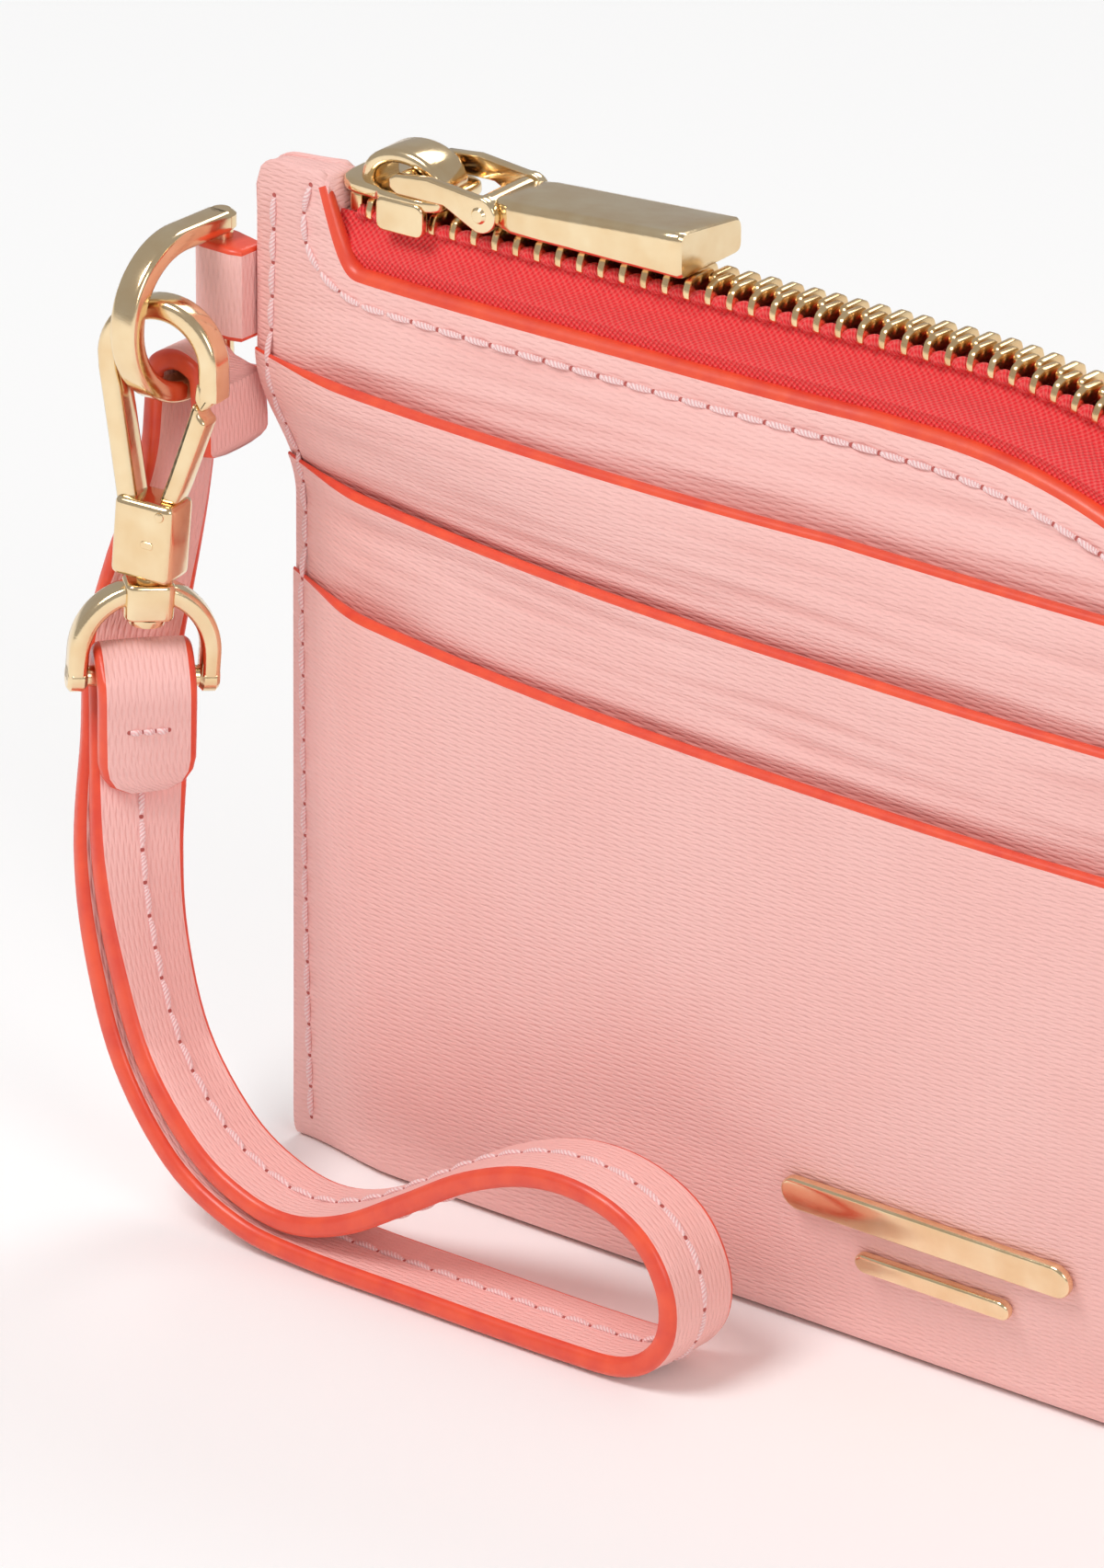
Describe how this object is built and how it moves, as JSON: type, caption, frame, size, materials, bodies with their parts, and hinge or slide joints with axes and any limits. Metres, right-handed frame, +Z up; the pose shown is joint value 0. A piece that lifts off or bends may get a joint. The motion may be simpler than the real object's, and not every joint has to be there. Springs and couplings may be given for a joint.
{
  "type": "wristlet wallet",
  "caption": "Slim pink leather wristlet wallet with an L-shaped brass zip, three front card pockets, a side D-ring and a wrist strap on a swivel snap hook.",
  "frame": {"origin": "middle of the wallet's flat bottom, on the surface it stands on", "axes": "+X to the right along the wallet, front faces -Y, +Z up"},
  "size_m": [0.1487, 0.0303, 0.0886],
  "materials": {
    "pink_leather": "fine cross-hatch grain, satin",
    "edge_paint": "orange-red sealed edge, satin",
    "lining_cloth": "plain woven lining",
    "zip_tape": "red twill tape",
    "zip_teeth": "polished",
    "gold_hardware": "pale gold plate, polished",
    "thread": "light pink twisted thread"
  },
  "bodies": {
    "wallet": {"front_panel": "pink_leather", "outer_wrap": "pink_leather", "pocket_panel_upper": "pink_leather", "pocket_panel_middle": "pink_leather", "lining_front": "lining_cloth", "lining_back": "lining_cloth", "zip_tape_front": "zip_tape", "zip_tape_back": "zip_tape", "zip_teeth_front": "zip_teeth", "zip_teeth_back": "zip_teeth", "zip_stop_closed": "zip_teeth", "zip_stop_open": "zip_teeth", "ring_tab": "pink_leather", "emblem_long_bar": "gold_hardware", "emblem_short_bar": "gold_hardware", "emblem_pins": "gold_hardware", "seam_stitches_left": "thread", "seam_stitches_right": "thread", "zip_stitches_front": "thread", "zip_stitches_back": "thread"},
    "slider": {"slider_body": "gold_hardware"},
    "link": {"pull_link": "gold_hardware", "pull_pin": "gold_hardware"},
    "pull": {"pull_tab": "gold_hardware"},
    "ring": {"d_ring": "gold_hardware"},
    "strap": {"wrist_strap": "pink_leather", "bail_tack": "thread", "ring_tack": "thread", "strap_stitches": "thread"},
    "swivel": {"bail": "gold_hardware", "swivel_head": "gold_hardware", "swivel_rivet": "gold_hardware"},
    "hook": {"hook_frame": "gold_hardware", "gate_pin": "gold_hardware"},
    "gate": {"hook_gate": "gold_hardware"}
  },
  "joints": [
    {"name": "zip_slide", "type": "slide", "parent": "wallet", "child": "slider", "axis": [0.9978, 0.0663, 0], "range_m": [0, 0.047]},
    {"name": "link_flip", "type": "hinge", "parent": "slider", "child": "link", "pos_m": [-0.0551, -0.00017, 0.0866], "axis": [0.0663, -0.9978, 0], "range_deg": [0, 110]},
    {"name": "pull_flip", "type": "hinge", "parent": "link", "child": "pull", "pos_m": [-0.04722, 0.00035, 0.0858], "axis": [0.0663, -0.9978, 0], "range_deg": [0, 80]},
    {"name": "ring_swing", "type": "hinge", "parent": "wallet", "child": "ring", "pos_m": [-0.0726, -0.0041, 0.0733], "axis": [0, 0, -1], "range_deg": [0, 90]},
    {"name": "strap_swing", "type": "hinge", "parent": "ring", "child": "strap", "pos_m": [-0.0726, -0.0064, 0.067], "axis": [0, -1, 0], "range_deg": [-12, 5]},
    {"name": "bail_tilt", "type": "hinge", "parent": "strap", "child": "swivel", "pos_m": [-0.07326, -0.01323, 0.04352], "axis": [-0.6409, -0.7645, 0.0685], "range_deg": [0, 1]},
    {"name": "hook_swivel", "type": "hinge", "parent": "swivel", "child": "hook", "pos_m": [-0.07285, -0.0129, 0.051], "axis": [0.0542, 0.0439, 0.9976], "range_deg": [-10, 3]},
    {"name": "gate_open", "type": "hinge", "parent": "hook", "child": "gate", "pos_m": [-0.07096, -0.01227, 0.05789], "axis": [0.2087, -0.9775, 0.0317], "range_deg": [0, 11], "stiffness_Nm_per_rad": 0.02, "springref_deg": -8.59}
  ]
}
